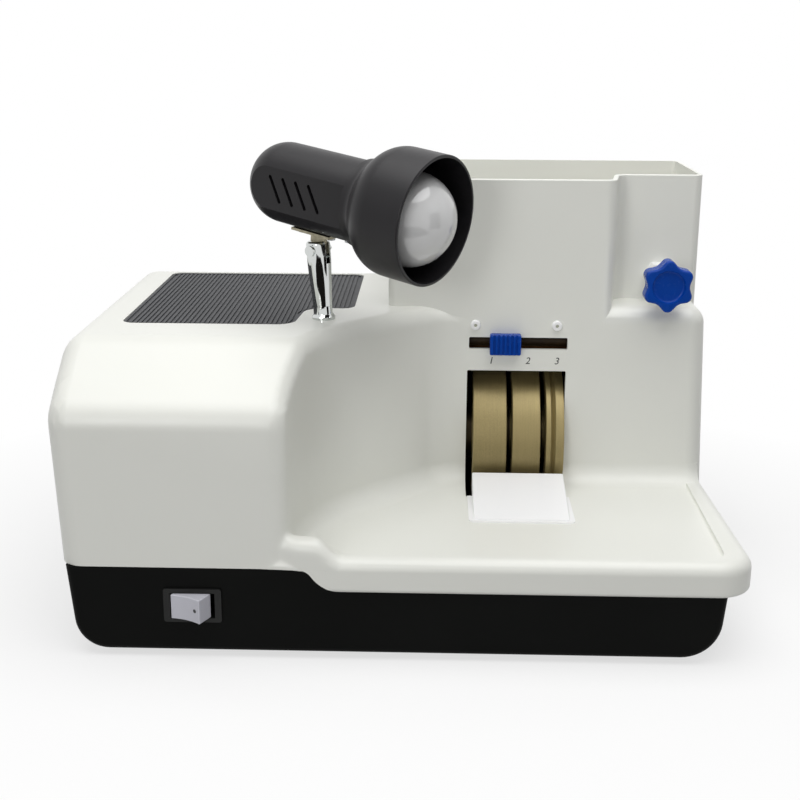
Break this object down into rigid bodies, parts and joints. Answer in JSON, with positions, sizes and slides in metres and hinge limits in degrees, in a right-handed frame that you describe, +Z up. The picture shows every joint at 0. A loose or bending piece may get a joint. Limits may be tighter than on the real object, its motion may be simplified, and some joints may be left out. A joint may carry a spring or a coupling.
{
  "type": "optical lens edger",
  "caption": "Bench-top hand edger for spectacle lenses: wet grinding wheels in a recessed wall, water tank with tap, parts tray and swivel lamp.",
  "frame": {"origin": "on the bench, under the middle of the machine's outline", "axes": "+X to the operator's right, +Y away from the operator, +Z up"},
  "size_m": [0.4093, 0.2963, 0.2939],
  "materials": {
    "ivory_abs": "moulded, satin gloss",
    "black_abs": "fine spark texture",
    "black_mat": "ribbed, dull",
    "rubber": "dull",
    "zinc": "zinc plated",
    "steel": "turned",
    "grey_paint": "semi-gloss",
    "cast_alloy": "die cast",
    "laminations": "stacked sheet",
    "copper_wire": "varnished",
    "dark_plastic": "moulded",
    "amber_sheet": "smooth sheet",
    "white_plastic": "smooth",
    "brass": "machined",
    "clear_hose": "soft tube",
    "chrome": "bright",
    "aluminium": "drawn can",
    "grit_coarse": "coarse bonded grit",
    "grit_fine": "fine bonded grit",
    "grit_bevel": "very fine bonded grit",
    "blue_plastic": "glossy",
    "black_lamp": "satin",
    "opal_glass": "opal, glossy",
    "rocker_grey": "satin"
  },
  "bodies": {
    "housing": {"base_tub": "black_abs", "rubber_feet": "rubber", "feet_screws": "zinc", "cover_screws": "zinc", "upper_cover": "ivory_abs", "tray_mat": "black_mat", "motor_shell": "grey_paint", "motor_bell_rear": "cast_alloy", "motor_bell_front": "cast_alloy", "stator_core": "laminations", "stator_windings": "copper_wire", "motor_tie_rods": "zinc", "motor_cradle": "grey_paint", "cradle_bolts": "zinc", "bearing_outer_rings": "steel", "wheel_chamber": "dark_plastic", "shaft_seal": "rubber", "drain_spigot": "black_abs", "splash_hood": "amber_sheet", "lens_rest": "white_plastic", "guide_bracket": "zinc", "guide_screws": "white_plastic", "water_rail": "brass", "tap_gland_nut": "brass", "tap_body": "brass", "water_hose": "clear_hose", "lamp_foot": "chrome", "lamp_foot_nut": "zinc", "switch_bezel": "black_abs", "power_inlet": "black_abs", "inlet_pins": "brass", "run_capacitor": "aluminium", "capacitor_clamp": "zinc", "terminal_block": "white_plastic"},
    "spindle": {"spindle_shaft": "steel", "rotor": "laminations", "cooling_fan": "black_abs", "slinger": "rubber", "inner_flange": "steel", "wheel_rough": "grit_coarse", "wheel_fine": "grit_fine", "wheel_bevel": "grit_bevel", "wheel_spacers": "steel", "clamp_flange": "steel", "spindle_nut": "steel", "bearing_inner_rings": "steel"},
    "nozzle": {"nozzle_carriage": "white_plastic", "slider_cap": "blue_plastic"},
    "tap": {"tap_knob": "blue_plastic", "tap_stem": "brass"},
    "lamp_arm": {"lamp_post": "chrome", "pivot_screw": "chrome"},
    "lamp": {"lamp_bracket": "chrome", "lamp_screws": "zinc", "lamp_barrel": "black_lamp", "lamp_shade": "black_lamp", "lamp_socket": "dark_plastic", "bulb_glass": "opal_glass", "bulb_cap": "brass"},
    "rocker": {"switch_rocker": "rocker_grey"}
  },
  "joints": [
    {"name": "spindle_spin", "type": "hinge", "parent": "housing", "child": "spindle", "pos_m": [0, 0.04315, 0.0865], "axis": [1, 0, 0], "continuous": true},
    {"name": "nozzle_slide", "type": "slide", "parent": "housing", "child": "nozzle", "axis": [1, 0, 0], "range_m": [-0.01763, 0.03497]},
    {"name": "tap_turn", "type": "hinge", "parent": "housing", "child": "tap", "pos_m": [0.1668, -0.00605, 0.2], "axis": [0, -1, 0], "range_deg": [0, 90]},
    {"name": "lamp_swivel", "type": "hinge", "parent": "housing", "child": "lamp_arm", "pos_m": [-0.0535, -0.03185, 0.183], "axis": [-0.0628, 0, 0.998], "range_deg": [-100, 20]},
    {"name": "lamp_tilt", "type": "hinge", "parent": "lamp_arm", "child": "lamp", "pos_m": [-0.05626, -0.03185, 0.22691], "axis": [0.571, 0.8202, 0.0359], "range_deg": [-30, 35]},
    {"name": "rocker_tip", "type": "hinge", "parent": "housing", "child": "rocker", "pos_m": [-0.123, -0.13665, 0.0341], "axis": [0, 0, 1], "range_deg": [0, 48]}
  ]
}
